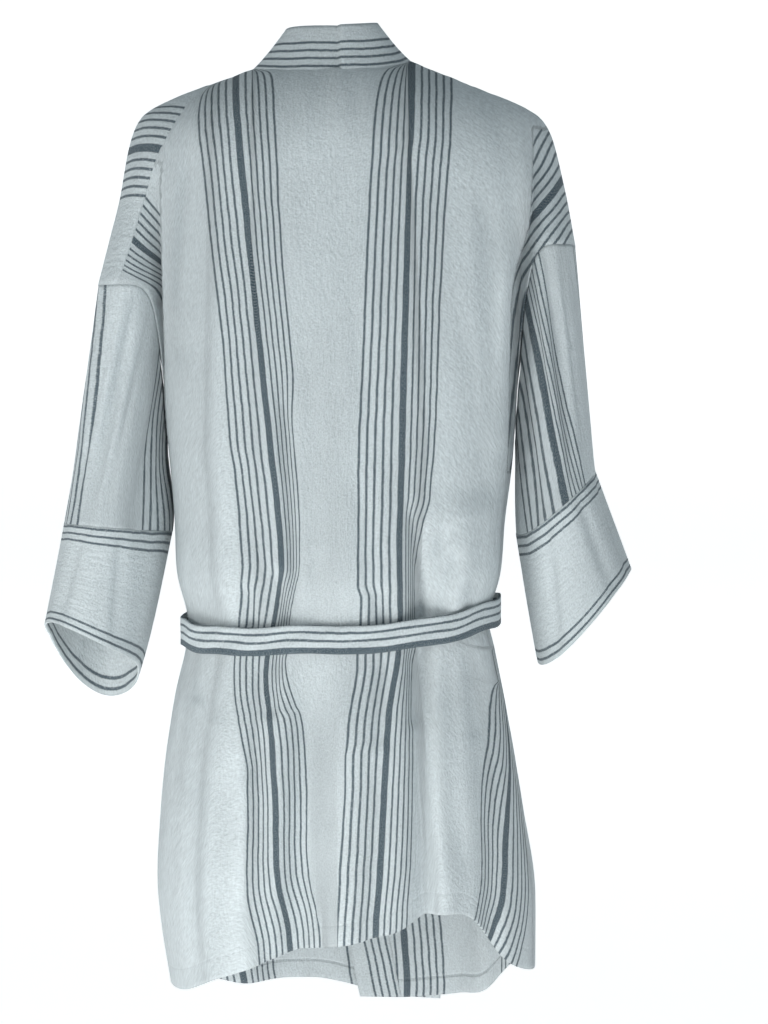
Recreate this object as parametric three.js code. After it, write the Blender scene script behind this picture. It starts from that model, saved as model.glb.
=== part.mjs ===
// Lounge robe, knee length, filled out with no wearer: a cut-and-sewn cotton wrap robe with a tied belt.
// Millimetres, +Z up. The front faces -Y, the wearer's left is +X, the origin is the centre of the neck.
import * as THREE from 'three';
import { mergeVertices } from 'three/addons/utils/BufferGeometryUtils.js';

// Driving sizes
const CLOTH = 2;
const SEAM_GAP = 0.3;
const CORNER_TRIM = 2;
const CUFF_TRIM = 0.6;
const UNDERARM_CLEAR = 3.6;
const UNDERARM_Z = -400;
const SQUARENESS = 2.6;
const SHOULDER_ROLL = 110;
const BAND_WIDTH = 48;
const BELT_WIDTH = 30;
const FRONT_LAYER = 2.6;
const NECK_CENTRE_Z = -2;

// Columns of the back from its centre to one side, of them under the neckband, and so of each front
const BACK_COLUMNS = 15;
const NECK_COLUMNS = 4;
const NECK_SHARE = NECK_COLUMNS / BACK_COLUMNS;

// Torso and skirt sections: half widths at the wearer's left and right, depths to the back and the front
const BODY = [
  { z: 60, left: 240, right: 240, back: 112, front: 84 },
  { z: 0, left: 232, right: 232, back: 114, front: 88 },
  { z: -100, left: 212, right: 214, back: 118, front: 98 },
  { z: -235, left: 198, right: 203, back: 122, front: 110 },
  { z: -400, left: 187, right: 190, back: 120, front: 114 },
  { z: -480, left: 180, right: 181, back: 120, front: 114 },
  { z: -540, left: 178, right: 176, back: 121, front: 113 },
  { z: -590, left: 167, right: 163, back: 109, front: 104 },
  { z: -625, left: 170, right: 170, back: 110, front: 106 },
  { z: -700, left: 186, right: 185, back: 126, front: 122 },
  { z: -800, left: 198, right: 202, back: 136, front: 136 },
  { z: -900, left: 201, right: 216, back: 143, front: 147 },
  { z: -1100, left: 170, right: 212, back: 150, front: 154 },
];

// Outline of the shoulder and upper arm from the side of the neck to the top of the sleeve seam
const SHOULDER = {
  left: [
    { part: 0, x: 90, z: 7 },
    { part: 0.25, x: 154, z: -16 },
    { part: 0.45, x: 205, z: -38 },
    { part: 0.6, x: 224, z: -64 },
    { part: 0.8, x: 240, z: -140 },
    { part: 1, x: 263, z: -228 },
  ],
  right: [
    { part: 0, x: 76, z: 15 },
    { part: 0.25, x: 153, z: -16 },
    { part: 0.45, x: 206, z: -38 },
    { part: 0.6, x: 228, z: -62 },
    { part: 0.8, x: 243, z: -115 },
    { part: 1, x: 257, z: -185 },
  ],
};

// Shoulder seam of the left side, which lies on the back of the shoulder
const LEFT_SEAM = [
  { part: 0, x: 92, z: 4 },
  { part: 0.3, x: 136, z: -15 },
  { part: 0.65, x: 186, z: -84 },
  { part: 1, x: 233, z: -231 },
];

// Vertical folds of the back: a trough is deep above 0, a ridge below 0
const BACK_FOLDS = [
  { top: -610, bottom: -1010, topX: 26, bottomX: 48, width: 24, deep: 26 },
  { top: -616, bottom: -1010, topX: -12, bottomX: -8, width: 34, deep: -10 },
  { top: -450, bottom: -980, topX: -84, bottomX: -92, width: 13, deep: 20 },
  { top: -500, bottom: -800, topX: 146, bottomX: 150, width: 20, deep: 7 },
  { top: -600, bottom: -1010, topX: -152, bottomX: -163, width: 15, deep: 20 },
  { top: -50, bottom: -330, topX: 150, bottomX: 182, width: 14, deep: 6 },
  { top: -480, bottom: -566, topX: -140, bottomX: -135, width: 30, deep: -10 },
];

// Folds of the two fronts
const FRONT_FOLDS = [
  { top: -120, bottom: -560, topX: 130, bottomX: 110, width: 22, deep: 8 },
  { top: -130, bottom: -560, topX: -128, bottomX: -96, width: 20, deep: 9 },
  { top: -610, bottom: -1110, topX: 92, bottomX: 118, width: 24, deep: 20 },
  { top: -610, bottom: -1110, topX: -146, bottomX: -168, width: 18, deep: 18 },
  { top: -620, bottom: -1110, topX: 34, bottomX: 30, width: 26, deep: -8 },
];

// Hem height across the back and the fronts, from the wearer's right to the left
const HEM = [
  { x: -214, back: -981, front: -981 },
  { x: -172, back: -936, front: -1040 },
  { x: -140, back: -884, front: -1056 },
  { x: -100, back: -874, front: -1064 },
  { x: -60, back: -894, front: -1067 },
  { x: 0, back: -903, front: -1052 },
  { x: 66, back: -925, front: -1045 },
  { x: 120, back: -962, front: -1042 },
  { x: 165, back: -996, front: -1030 },
  { x: 200, back: -1000, front: -1000 },
];

// Sewn edge of each front, measured from the centre to its own side; below 0 it is past the centre
const FRONT_EDGE = [
  { z: 20, left: 90, right: 76 },
  { z: -120, left: 66, right: 58 },
  { z: -260, left: 38, right: 34 },
  { z: -400, left: 6, right: 6 },
  { z: -600, left: -48, right: -30 },
  { z: -850, left: -62, right: 24 },
  { z: -1070, left: -68, right: 70 },
];

// Sleeve ends: outer and inner points of each ring, half depth, and how much lower its front lies
const SLEEVE_RINGS = {
  left: {
    seam: { outerX: 263, outerZ: -228, innerX: 187, innerZ: -400 },
    cuff: { outerX: 301, outerZ: -488, innerX: 207, innerZ: -496, depth: 92, lower: 16 },
    opening: { outerX: 323, outerZ: -612, innerX: 226, innerZ: -646, depth: 98, lower: 44 },
  },
  right: {
    seam: { outerX: 257, outerZ: -185, innerX: 190, innerZ: -400 },
    cuff: { outerX: 279, outerZ: -430, innerX: 202, innerZ: -500, depth: 90, lower: 10 },
    opening: { outerX: 319, outerZ: -541, innerX: 221, innerZ: -646, depth: 94, lower: 20 },
  },
};

const BELT_Z = { left: -605, right: -581, back: -598 };
const SIGN = { left: 1, right: -1 };
const OTHER = { left: 'right', right: 'left' };

const mix = (from, to, share) => from + (to - from) * share;
const clamp = (value, low, high) => Math.min(high, Math.max(low, value));

// Smooth curve through one column of a table, with the slope of its neighbours at each row
function along(rows, key, column, at) {
  const up = rows[rows.length - 1][key] > rows[0][key];
  const spot = up ? clamp(at, rows[0][key], rows[rows.length - 1][key])
    : clamp(at, rows[rows.length - 1][key], rows[0][key]);
  let index = 0;
  while (index < rows.length - 2 && (up ? spot > rows[index + 1][key] : spot < rows[index + 1][key])) {
    index += 1;
  }
  const slope = (row) => {
    const before = rows[Math.max(row - 1, 0)];
    const after = rows[Math.min(row + 1, rows.length - 1)];
    return (after[column] - before[column]) / (after[key] - before[key]);
  };
  const [start, end] = [rows[index], rows[index + 1]];
  const span = end[key] - start[key];
  const share = (spot - start[key]) / span;
  const rest = 1 - share;
  return start[column] * (1 + 2 * share) * rest * rest
    + end[column] * (1 + 2 * rest) * share * share
    + slope(index) * span * share * rest * rest
    - slope(index + 1) * span * share * share * rest;
}

// Sum of the folds at a place: each is a bell across its line, faded in and out at its ends
function foldDepth(folds, x, z) {
  return folds.reduce((sum, fold) => {
    const share = (z - fold.top) / (fold.bottom - fold.top);
    if (share <= 0 || share >= 1) return sum;
    const fade = Math.min(1, share * 4) * Math.min(1, (1 - share) * 6);
    const offset = (x - mix(fold.topX, fold.bottomX, share)) / fold.width;
    return sum + fold.deep * fade * Math.exp(-offset * offset);
  }, 0);
}

// Height of the shoulder line above a place, for x measured outwards
function ridgeHeight(side, x) {
  const rows = SHOULDER[side];
  return x < rows[0].x ? rows[0].z + 0.12 * (rows[0].x - x) : along(rows, 'x', 'z', x);
}

// Point of the shoulder line, by its share of the way from the neck to the sleeve seam, as [x, z]
function ridgePoint(side, share) {
  const x = along(SHOULDER[side], 'part', 'x', share);
  return [x, ridgeHeight(side, x)];
}

// Outermost x of the upper arm at a height
function armOutside(side, z) {
  return along(SHOULDER[side], 'z', 'x', z);
}

// Half width on the side where x lies; below 0 it is past the centre
function halfWidth(side, x, z) {
  return along(BODY, 'z', x < 0 ? OTHER[side] : side, z);
}

// How far the cloth stands behind (face 1) or before (face -1) the shoulder plane, x outwards
function reach(side, face, x, z) {
  const half = halfWidth(side, x, z);
  const deep = along(BODY, 'z', face > 0 ? 'back' : 'front', z);
  const below = clamp((ridgeHeight(side, Math.abs(x)) - z) / SHOULDER_ROLL, 0, 1);
  const roll = Math.sqrt(1 - (1 - below) * (1 - below));
  const across = clamp(1 - Math.pow(Math.abs(x) / half, SQUARENESS), 0, 1);
  const torso = deep * roll * Math.pow(across, 1 / SQUARENESS);
  const outside = z > SLEEVE_RINGS[side].seam.outerZ ? armOutside(side, z)
    : mix(SLEEVE_RINGS[side].seam.outerX, 279, clamp((SLEEVE_RINGS[side].seam.outerZ - z) / 150, 0, 1));
  const inside = SLEEVE_RINGS[side].seam.innerX - clamp((z + 235) * 0.2, 0, 60);
  const place = (2 * x - outside - inside) / (outside - inside);
  const armDeep = 84 * Math.sqrt(clamp((10 - z) / 240, 0, 1));
  const arm = armDeep * Math.sqrt(clamp(1 - place * place, 0, 1));
  const both = Math.pow(Math.pow(torso, 6) + Math.pow(arm, 6), 1 / 6);
  const fade = clamp(both / 40, 0, 1);
  const folds = foldDepth(face > 0 ? BACK_FOLDS : FRONT_FOLDS, SIGN[side] * x, z);
  return both - folds * fade;
}

// Sleeve seam on one face, from the top of the arm (share 0) to the underarm (share 1), as [x, z]
function seamRing(side, share) {
  const ring = SLEEVE_RINGS[side].seam;
  return [mix(ring.outerX, ring.innerX, Math.pow(share, 0.7)), mix(ring.outerZ, ring.innerZ, Math.pow(share, 2.2))];
}

// Patch between four edge curves of [x, z] points, each given by a share from 0 to 1
function patch(top, bottom, inner, outer, p, q) {
  const corner = [top(0), top(1), bottom(0), bottom(1)];
  return [0, 1].map((axis) => mix(top(p)[axis], bottom(p)[axis], q) + mix(inner(q)[axis], outer(q)[axis], p)
    - mix(mix(corner[0][axis], corner[1][axis], p), mix(corner[2][axis], corner[3][axis], p), q));
}

// Superellipse section: x outwards and reach for an angle from the centre (0) to the side (a right angle)
function section(half, deep, angle) {
  const power = 2 / SQUARENESS;
  const bend = (value) => Math.sign(value) * Math.pow(Math.abs(value), power);
  return [half * bend(Math.sin(angle)), deep * bend(Math.cos(angle))];
}

// Angle whose section point lies at x
function angleAt(half, x) {
  return Math.asin(clamp(Math.sign(x) * Math.pow(Math.abs(x) / half, SQUARENESS / 2), -1, 1));
}

// Point of the body below the underarm, layer is a step outwards
function lowerPoint(side, face, angle, z, layer) {
  const half = halfWidth(side, angle, z);
  const deep = along(BODY, 'z', face > 0 ? 'back' : 'front', z);
  const [x, y] = section(half, deep, angle);
  const folds = foldDepth(face > 0 ? BACK_FOLDS : FRONT_FOLDS, SIGN[side] * x, z);
  const fade = clamp(Math.abs(y) / 40, 0, 1);
  return new THREE.Vector3(SIGN[side] * x, face * (y - folds * fade + layer * fade), z);
}

// Height of the hem at an x
const hemHeight = (face, x) => along(HEM, 'x', face > 0 ? 'back' : 'front', x);

// Where the height runs from the underarm (share 0) to the hem (share 1) at an angle
function hemmedPoint(side, face, angle, share, layer) {
  const low = halfWidth(side, angle, -950);
  const hem = hemHeight(face, SIGN[side] * section(low, 1, angle)[0]);
  return lowerPoint(side, face, angle, mix(UNDERARM_Z, hem, share), layer);
}

// Back: one straight panel; p runs from the centre to the side, q from the neck (0) to the underarm (1) and hem (2)
function backPoint(side, p, q) {
  const angle = p * Math.PI / 2;
  if (q > 1) return hemmedPoint(side, 1, angle, q - 1, 0);
  const seam = (share) => (side === 'right' ? ridgePoint(side, share)
    : [along(LEFT_SEAM, 'part', 'x', share), along(LEFT_SEAM, 'part', 'z', share)]);
  const [startX, startZ] = seam(0);
  const top = (share) => {
    if (share > NECK_SHARE) {
      return seam((share - NECK_SHARE) / (1 - NECK_SHARE));
    }
    const turn = share / NECK_SHARE;
    return [startX * Math.sin(turn * Math.PI / 2), mix(NECK_CENTRE_Z, startZ, turn * turn)];
  };
  const bottom = (share) => [
    section(along(BODY, 'z', side, UNDERARM_Z), 1, share * Math.PI / 2)[0], UNDERARM_Z];
  const ringStart = side === 'left' ? 0.24 : 0;
  const outer = (share) => seamRing(side, mix(ringStart, 1, share));
  const inner = (share) => [0, mix(NECK_CENTRE_Z, UNDERARM_Z, share)];
  const [x, z] = patch(top, bottom, inner, outer, p, q);
  return new THREE.Vector3(SIGN[side] * x, reach(side, 1, x, z), z);
}

// Front: p runs from its sewn edge to the side; q below 0 goes over the shoulder to the seam on the back
function frontPoint(side, p, q) {
  const layer = side === 'left' ? FRONT_LAYER : -FRONT_LAYER;
  const rows = SHOULDER[side];
  const ridge = (share) => ridgePoint(side, share);
  if (q < 0) {
    const [ridgeX, ridgeZ] = ridge(p);
    const x = mix(ridgeX, along(LEFT_SEAM, 'part', 'x', p), -q);
    const z = mix(ridgeZ, along(LEFT_SEAM, 'part', 'z', p), -q);
    return new THREE.Vector3(SIGN[side] * x, reach(side, 1, x, z), z);
  }
  if (q > 1) {
    const z = mix(UNDERARM_Z, -1060, q - 1);
    const edge = along(FRONT_EDGE, 'z', side, z);
    const start = angleAt(halfWidth(side, edge, z), edge);
    return hemmedPoint(side, -1, mix(start, Math.PI / 2, p), q - 1, layer);
  }
  const edgeX = along(FRONT_EDGE, 'z', side, UNDERARM_Z);
  const half = along(BODY, 'z', side, UNDERARM_Z);
  const bottom = (share) => [section(half, 1, mix(angleAt(half, edgeX), Math.PI / 2, share))[0], UNDERARM_Z];
  const inner = (share) => {
    const z = mix(rows[0].z, UNDERARM_Z, share);
    return [mix(rows[0].x, along(FRONT_EDGE, 'z', side, z), clamp(share * 6, 0, 1)), z];
  };
  const outer = (share) => seamRing(side, share);
  const [x, z] = patch(ridge, bottom, inner, outer, p, q);
  const y = reach(side, -1, x, z);
  return new THREE.Vector3(SIGN[side] * x, -(y + layer * clamp(y / 40, 0, 1)), z);
}

// Sleeve ring points: turn goes round from the top of the arm over the back, the underarm and the front
function ringPoint(side, name, turn) {
  const ring = SLEEVE_RINGS[side][name];
  const share = (1 - Math.cos(turn)) / 2;
  const face = Math.sin(turn) >= 0 ? 1 : -1;
  if (name === 'seam') {
    const [x, z] = seamRing(side, share);
    return new THREE.Vector3(SIGN[side] * x, face * reach(side, face, x, z), z);
  }
  const y = ring.depth * face * Math.pow(Math.abs(Math.sin(turn)), 0.85);
  const x = mix(ring.outerX, ring.innerX, share);
  const z = mix(ring.outerZ, ring.innerZ, share) + ring.lower * y / ring.depth / 2;
  return new THREE.Vector3(SIGN[side] * x, y, z);
}

// Sleeve wall point between two rings, with a soft trough down its back
function tubePoint(side, from, to, turn, share) {
  const point = ringPoint(side, from, turn).lerp(ringPoint(side, to, turn), share);
  const trough = 7 * Math.exp(-Math.pow((turn - 1.15) / 0.35, 2)) * Math.sin(Math.PI * clamp(share, 0, 1));
  point.y -= from === 'seam' ? trough : 0;
  return point;
}

// Moves the edges of a grid inwards by sizes in millimetres
function trimmed(grid, { top = 0, bottom = 0, start = 0, end = 0 }) {
  const last = grid.length - 1;
  const toward = (point, next, size) => point.add(next.clone().sub(point).setLength(size));
  grid.forEach((row) => {
    const right = row.length - 1;
    if (start) toward(row[0], row[1], start);
    if (end) toward(row[right], row[right - 1], end);
  });
  grid[0].forEach((point, column) => {
    if (top) toward(point, grid[1][column], top);
    if (bottom) toward(grid[last][column], grid[last - 1][column], bottom);
  });
  return grid;
}

// Closed wall through a grid of points, half a cloth to each side
function wallGeometry(grid, around) {
  const rows = grid.length;
  const columns = grid[0].length;
  const at = (row, column) => grid[clamp(row, 0, rows - 1)][
    around ? (column + columns) % columns : clamp(column, 0, columns - 1)];
  const vertices = [];
  [1, -1].forEach((face) => {
    for (let row = 0; row < rows; row += 1) {
      for (let column = 0; column < columns; column += 1) {
        const downward = at(row + 1, column).clone().sub(at(row - 1, column));
        const across = at(row, column + 1).clone().sub(at(row, column - 1));
        const normal = across.cross(downward).normalize();
        const point = grid[row][column].clone().addScaledVector(normal, face * CLOTH / 2);
        vertices.push(point.x, point.y, point.z);
      }
    }
  });
  const inner = rows * columns;
  const id = (row, column) => row * columns + (around ? column % columns : column);
  const faces = [];
  const quad = (a, b, c, d) => faces.push(a, b, c, a, c, d);
  const lastColumn = around ? columns : columns - 1;
  for (let row = 0; row < rows - 1; row += 1) {
    for (let column = 0; column < lastColumn; column += 1) {
      const [a, b, c, d] = [id(row, column), id(row, column + 1), id(row + 1, column + 1), id(row + 1, column)];
      quad(a, b, c, d);
      quad(inner + d, inner + c, inner + b, inner + a);
    }
    if (!around) {
      const last = columns - 1;
      quad(id(row, 0), id(row + 1, 0), inner + id(row + 1, 0), inner + id(row, 0));
      quad(id(row + 1, last), id(row, last), inner + id(row, last), inner + id(row + 1, last));
    }
  }
  for (let column = 0; column < lastColumn; column += 1) {
    const bottom = rows - 1;
    quad(id(0, column + 1), id(0, column), inner + id(0, column), inner + id(0, column + 1));
    quad(id(bottom, column), id(bottom, column + 1), inner + id(bottom, column + 1), inner + id(bottom, column));
  }
  const geometry = new THREE.BufferGeometry();
  geometry.setAttribute('position', new THREE.Float32BufferAttribute(vertices, 3));
  geometry.setIndex(faces);
  return outward(geometry);
}

// Turns the faces of a closed geometry to point out, by the sign of its volume
function outward(geometry) {
  const corners = geometry.index.array;
  const corner = (index) => new THREE.Vector3().fromBufferAttribute(geometry.attributes.position, corners[index]);
  let volume = 0;
  for (let index = 0; index < corners.length; index += 3) {
    volume += corner(index).dot(corner(index + 1).cross(corner(index + 2)));
  }
  if (volume < 0) {
    for (let index = 0; index < corners.length; index += 3) {
      [corners[index + 1], corners[index + 2]] = [corners[index + 2], corners[index + 1]];
    }
  }
  return geometry;
}

const steps = (count, from, to) => Array.from({ length: count + 1 }, (_, index) => mix(from, to, index / count));

// Heights of the rows: closer together over the roll of the shoulder
const upperRows = steps(11, 0, 1).map((share) => Math.pow(share, 1.5));
const lowerRows = steps(17, 1, 2).slice(1);

// Back panel, from the wearer's left side to the right
function backGrid() {
  const across = [...steps(BACK_COLUMNS, 1, 0), ...steps(BACK_COLUMNS, 0, 1).slice(1)];
  const grid = [...upperRows, ...lowerRows].map((q) => across.map(
    (p, column) => backPoint(column < BACK_COLUMNS ? 'left' : 'right', p, q)));
  return trimmed(grid, { start: SEAM_GAP / 2, end: SEAM_GAP / 2 });
}

function frontGrid(side) {
  const over = side === 'left' ? steps(5, 1, 0).slice(0, -1).map((share) => -share * share) : [];
  const grid = [...over, ...upperRows, ...lowerRows].map((q) => steps(BACK_COLUMNS - NECK_COLUMNS, 0, 1)
    .map((p) => frontPoint(side, p, q)));
  return trimmed(grid, { top: CORNER_TRIM, start: SEAM_GAP, end: SEAM_GAP });
}

// Sleeve or cuff; the sleeve's inner side stands clear of the body
function tubeGrid(side, from, to, rows) {
  const round = 26;
  const grid = steps(rows, 0, 1).map((share) => steps(round, 0, 2 * Math.PI).slice(0, -1).map((turn) => {
    const point = tubePoint(side, from, to, turn, share);
    const inner = (1 - Math.cos(turn)) / 2;
    point.x += from === 'seam' ? SIGN[side] * UNDERARM_CLEAR * inner * inner * (1 - share) : 0;
    return point;
  }));
  return trimmed(grid, { top: from === 'seam' ? CORNER_TRIM : CUFF_TRIM });
}

// Neckband: one strip up one front edge, round the neck and down the other, as [sewn edge, middle, free edge]
function bandGrid() {
  const front = (side) => steps(26, 2, 0).map((q) => {
    const sewn = frontPoint(side, 0, q);
    const high = clamp((sewn.z + 170) / 170, 0, 1);
    const inward = sewn.clone();
    const x = SIGN[side] * sewn.x - BAND_WIDTH;
    const layer = side === 'left' ? FRONT_LAYER : -FRONT_LAYER;
    if (q > 1) {
      inward.copy(lowerPoint(side, -1, angleAt(halfWidth(side, x, sewn.z), x), sewn.z, layer));
    } else {
      inward.set(SIGN[side] * x, -reach(side, -1, x, sewn.z) - layer, sewn.z);
    }
    const standing = new THREE.Vector3(-SIGN[side] * 0.62, -0.1, 0.78).multiplyScalar(BAND_WIDTH).add(sewn);
    const free = inward.lerp(standing, high * high * (3 - 2 * high));
    return [sewn, free];
  });
  const neck = (side) => steps(NECK_COLUMNS, NECK_SHARE, 0).map((p) => {
    const sewn = backPoint(side, p, 0);
    const turn = p / NECK_SHARE;
    const lean = new THREE.Vector3(-SIGN[side] * 0.62 * turn, mix(-0.22, -0.1, turn), mix(0.98, 0.78, turn));
    return [sewn, lean.normalize().multiplyScalar(BAND_WIDTH).add(sewn)];
  });
  const left = [...front('left').slice(0, -1), ...neck('left')];
  const right = [...front('right').slice(0, -1), ...neck('right').slice(0, -1)].reverse();
  return [...left, ...right].map(([sewn, free]) => {
    const start = sewn.clone().lerp(free, CORNER_TRIM / BAND_WIDTH);
    return [start, start.clone().lerp(free, 0.5), free];
  });
}

// Belt: a ring of the body's own points moved out; turn 0 is the centre back
const beltOut = FRONT_LAYER + CLOTH + 2.9;
function beltGrid() {
  const round = 52;
  return [-1, 0, 1].map((edge) => steps(round, 0, 2 * Math.PI).slice(0, -1).map((turn) => {
    const side = Math.sin(turn) >= 0 ? 'left' : 'right';
    const face = Math.cos(turn) >= 0 ? 1 : -1;
    const angle = Math.asin(clamp(Math.abs(Math.sin(turn)), 0, 1));
    const tilt = mix(BELT_Z.back, BELT_Z[side], Math.abs(Math.sin(turn)));
    const z = tilt + edge * BELT_WIDTH / 2;
    const over = tilt + BELT_WIDTH / 2;
    const half = Math.max(along(BODY, 'z', side, tilt), along(BODY, 'z', side, over));
    const deep = ['back', 'front'].map((column) => Math.max(along(BODY, 'z', column, tilt),
      along(BODY, 'z', column, over)))[face > 0 ? 0 : 1];
    const [x, y] = section(half + beltOut, deep + beltOut, angle);
    return new THREE.Vector3(SIGN[side] * x, face * y, z);
  }));
}

// Knot: a soft flattened ball with a band across it, resting on the belt at the front
const KNOT = { x: 24, width: 54, height: 44, depth: 26 };
function knotGeometry() {
  const geometry = new THREE.SphereGeometry(1, 20, 12);
  geometry.deleteAttribute('normal');
  geometry.deleteAttribute('uv');
  const points = geometry.attributes.position;
  const front = along(BODY, 'z', 'front', BELT_Z.back + BELT_WIDTH / 2) + beltOut + CLOTH / 2 + SEAM_GAP;
  for (let index = 0; index < points.count; index += 1) {
    const [x, y, z] = [points.getX(index), points.getY(index), points.getZ(index)];
    const waist = 1 - 0.14 * Math.exp(-Math.pow((x - 0.25) / 0.25, 2));
    const flat = y > 0.6 ? 0.6 : y;
    points.setXYZ(index, KNOT.x + x * KNOT.width / 2, -front - (0.6 - flat) * KNOT.depth / 1.6 - 0.2,
      BELT_Z.back + z * waist * KNOT.height / 2);
  }
  return outward(mergeVertices(geometry, 1e-3));
}

// Hanging ends of the belt: where they leave the knot, how far they spread, swing and turn
const TAILS = {
  left: { x: 34, under: 20.6, spread: 12, length: 330, swing: 26, turn: 0.16 },
  right: { x: 15, under: 21.8, spread: -10, length: 296, swing: -14, turn: -0.2 },
};
const TAIL_STAND_OFF = 19;
const TAIL_PINCH = 0.55;
function tailGrid(side) {
  const tail = TAILS[side];
  const top = BELT_Z.back - tail.under;
  return steps(14, 0, 1).map((share) => {
    const open = clamp(share * 6, 0, 1);
    const z = top - share * tail.length;
    const x = tail.x + tail.spread * open + tail.swing * share * share;
    const front = Math.max(along(BODY, 'z', 'front', z), along(BODY, 'z', 'front', top));
    const out = front + TAIL_STAND_OFF + 3 * Math.sin(9 * share);
    const turn = tail.turn * Math.sin(5 * share);
    return [-1, 0, 1].map((edge) => {
      const across = edge * mix(TAIL_PINCH, 1, open) * BELT_WIDTH / 2;
      return new THREE.Vector3(x + across * Math.cos(turn), -out - across * Math.sin(turn), z);
    });
  });
}

const cotton = () => new THREE.MeshStandardMaterial({ color: 0xdfe1dd, roughness: 0.9, metalness: 0 });

function addPiece(group, name, geometry) {
  const mesh = new THREE.Mesh(geometry, cotton());
  mesh.name = name;
  group.add(mesh);
}

const robe = new THREE.Group();
addPiece(robe, 'back', wallGeometry(backGrid(), false));
['left', 'right'].forEach((side) => {
  addPiece(robe, `front_${side}`, wallGeometry(frontGrid(side), false));
  addPiece(robe, `sleeve_${side}`, wallGeometry(tubeGrid(side, 'seam', 'cuff', 8), true));
  addPiece(robe, `cuff_${side}`, wallGeometry(tubeGrid(side, 'cuff', 'opening', 4), true));
  addPiece(robe, `belt_end_${side}`, wallGeometry(tailGrid(side), false));
});
addPiece(robe, 'neckband', wallGeometry(bandGrid(), false));
addPiece(robe, 'belt', wallGeometry(beltGrid(), true));
addPiece(robe, 'belt_knot', knotGeometry());

export default robe;
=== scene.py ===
import math

import bpy
import numpy as np
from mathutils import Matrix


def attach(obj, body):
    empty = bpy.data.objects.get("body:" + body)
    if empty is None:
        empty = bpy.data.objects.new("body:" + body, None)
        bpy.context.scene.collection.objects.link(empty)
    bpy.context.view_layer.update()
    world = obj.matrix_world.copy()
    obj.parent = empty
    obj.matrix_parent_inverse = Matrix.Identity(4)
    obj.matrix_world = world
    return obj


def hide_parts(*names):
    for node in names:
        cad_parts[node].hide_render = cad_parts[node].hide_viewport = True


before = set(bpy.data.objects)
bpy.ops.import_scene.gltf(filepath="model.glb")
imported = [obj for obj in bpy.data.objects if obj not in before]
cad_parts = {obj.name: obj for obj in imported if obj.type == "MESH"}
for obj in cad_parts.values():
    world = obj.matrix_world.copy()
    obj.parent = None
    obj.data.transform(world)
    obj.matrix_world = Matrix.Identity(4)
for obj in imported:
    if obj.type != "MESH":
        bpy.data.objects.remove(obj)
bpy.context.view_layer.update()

# Back
# The real back is one straight panel of washed, crinkled cotton with its warp stripes running down.
# It is sewn to the fronts over the shoulders and down the sides, and to the sleeves on the upper arm.
# Its half widths and depths by height come first, in metres; the back of the robe is towards +y.
UNDERARM_Z = -0.400
SQUARENESS = 2.6
SHOULDER_ROLL = 0.110
RIDGE_CLOSING = 0.005
NECK_CENTRE_Z = -0.002
NECK_SHARE = 4 / 15
SIGN = {"left": 1.0, "right": -1.0}
OTHER = {"left": "right", "right": "left"}

BODY = {
    "z":     [-1.100, -0.900, -0.800, -0.700, -0.625, -0.590, -0.540, -0.480, -0.400, -0.235,
              -0.100, 0.000, 0.060],
    "left":  [0.170, 0.201, 0.198, 0.186, 0.170, 0.167, 0.178, 0.180, 0.187, 0.198, 0.212, 0.232, 0.240],
    "right": [0.212, 0.216, 0.202, 0.185, 0.170, 0.163, 0.176, 0.181, 0.190, 0.203, 0.214, 0.232, 0.240],
    "back":  [0.150, 0.143, 0.136, 0.126, 0.110, 0.109, 0.121, 0.120, 0.120, 0.122, 0.118, 0.114, 0.112],
    "front": [0.154, 0.147, 0.136, 0.122, 0.106, 0.104, 0.113, 0.114, 0.114, 0.110, 0.098, 0.088, 0.084],
}
SHOULDER = {
    "left": {"part": [0, 0.25, 0.45, 0.6, 0.8, 1], "x": [0.090, 0.154, 0.205, 0.224, 0.240, 0.263],
             "z": [0.007, -0.016, -0.038, -0.064, -0.140, -0.228]},
    "right": {"part": [0, 0.25, 0.45, 0.6, 0.8, 1], "x": [0.076, 0.153, 0.206, 0.228, 0.243, 0.257],
              "z": [0.015, -0.016, -0.038, -0.062, -0.115, -0.185]},
}
LEFT_SEAM = {"part": [0, 0.3, 0.65, 1], "x": [0.092, 0.136, 0.186, 0.233],
             "z": [0.004, -0.015, -0.084, -0.231]}
HEM = {
    "x":     [-0.214, -0.172, -0.140, -0.100, -0.060, 0.000, 0.066, 0.120, 0.165, 0.200],
    "back":  [-0.976, -0.944, -0.898, -0.892, -0.908, -0.921, -0.939, -0.960, -0.984, -0.992],
    "front": [-0.981, -1.040, -1.056, -1.064, -1.067, -1.052, -1.045, -1.042, -1.030, -1.000],
}
SEAM_RING = {
    "left": {"outer": (0.263, -0.228), "inner": (0.187, -0.400)},
    "right": {"outer": (0.257, -0.185), "inner": (0.190, -0.400)},
}
# Powers of the sleeve seam's run inwards and down, behind each arm and in front of it
SEAM_POWERS = {"left": (0.35, 4.0), "right": (0.45, 3.6)}
FRONT_SEAM_POWERS = (0.7, 2.2)
OVER_SHARE = 0.07
NECK_RISE = 0.12
EDGE_FADE = 0.040
HEM_LEVEL = -0.950
# The upper arm under the back: depth, top and height of its rise, and where its outer and inner sides run
ARM_DEEP, ARM_TOP_Z, ARM_HEIGHT = 0.084, 0.010, 0.240
ARM_LOW_X, ARM_WIDENING = 0.279, 0.150
ARMHOLE_Z, ARMHOLE_SLOPE, ARMHOLE_MOST = -0.235, 0.2, 0.060

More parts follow.
